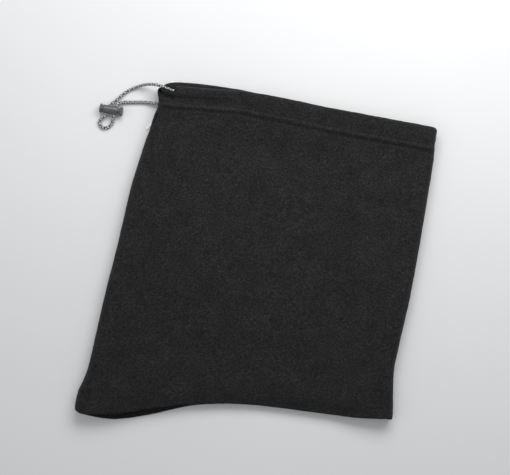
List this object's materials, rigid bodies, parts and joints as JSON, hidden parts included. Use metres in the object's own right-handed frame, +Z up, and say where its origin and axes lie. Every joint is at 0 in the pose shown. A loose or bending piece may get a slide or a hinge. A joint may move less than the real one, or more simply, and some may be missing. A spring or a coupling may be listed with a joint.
{
  "type": "neck gaiter",
  "caption": "Fleece tube neck gaiter lying flat, with a stitched casing along its top edge, a round drawcord and a sprung cord lock.",
  "frame": {"origin": "centre of the box of the gaiter lying flat, without its free cord and lock, on the surface it lies on", "axes": "+Z up from the surface, +Y from the bottom edge towards the casing, +X from the cord's corner towards the far fold"},
  "size_m": [0.2914, 0.298, 0.0168],
  "materials": {
    "fleece": "black microfleece, short matt nap",
    "thread": "black spun polyester sewing thread",
    "label_tape": "white woven satin tape, blank",
    "drawcord": "black round braid with white tracer flecks",
    "lock_plastic": "moulded dark grey satin acetal",
    "spring_steel": "drawn spring wire"
  },
  "bodies": {
    "gaiter": {"fleece_tube": "fleece", "side_seam": "fleece", "needle_thread_upper": "thread", "needle_thread_lower": "thread", "looper_thread": "thread", "seam_bartack": "thread", "care_label": "label_tape", "drawcord_in_casing": "drawcord", "drawcord_front_strand": "drawcord", "drawcord_rear_strand": "drawcord"},
    "cord_lock": {"cord_lock_barrel": "lock_plastic", "cord_lock_spring": "spring_steel", "drawcord_loop": "drawcord"},
    "lock_button": {"cord_lock_plunger": "lock_plastic"}
  },
  "joints": [
    {"name": "lock_slide", "type": "slide", "parent": "gaiter", "child": "cord_lock", "axis": [0.9207, 0.3903, 0], "range_m": [0, 0.015], "deforming": ["drawcord_front_strand", "drawcord_rear_strand"]},
    {"name": "button_press", "type": "slide", "parent": "cord_lock", "child": "lock_button", "axis": [-1, 0, 0], "range_m": [0, 0.0014], "stiffness_N_per_m": 1500, "springref_m": -0.0005, "deforming": ["cord_lock_spring"]}
  ]
}
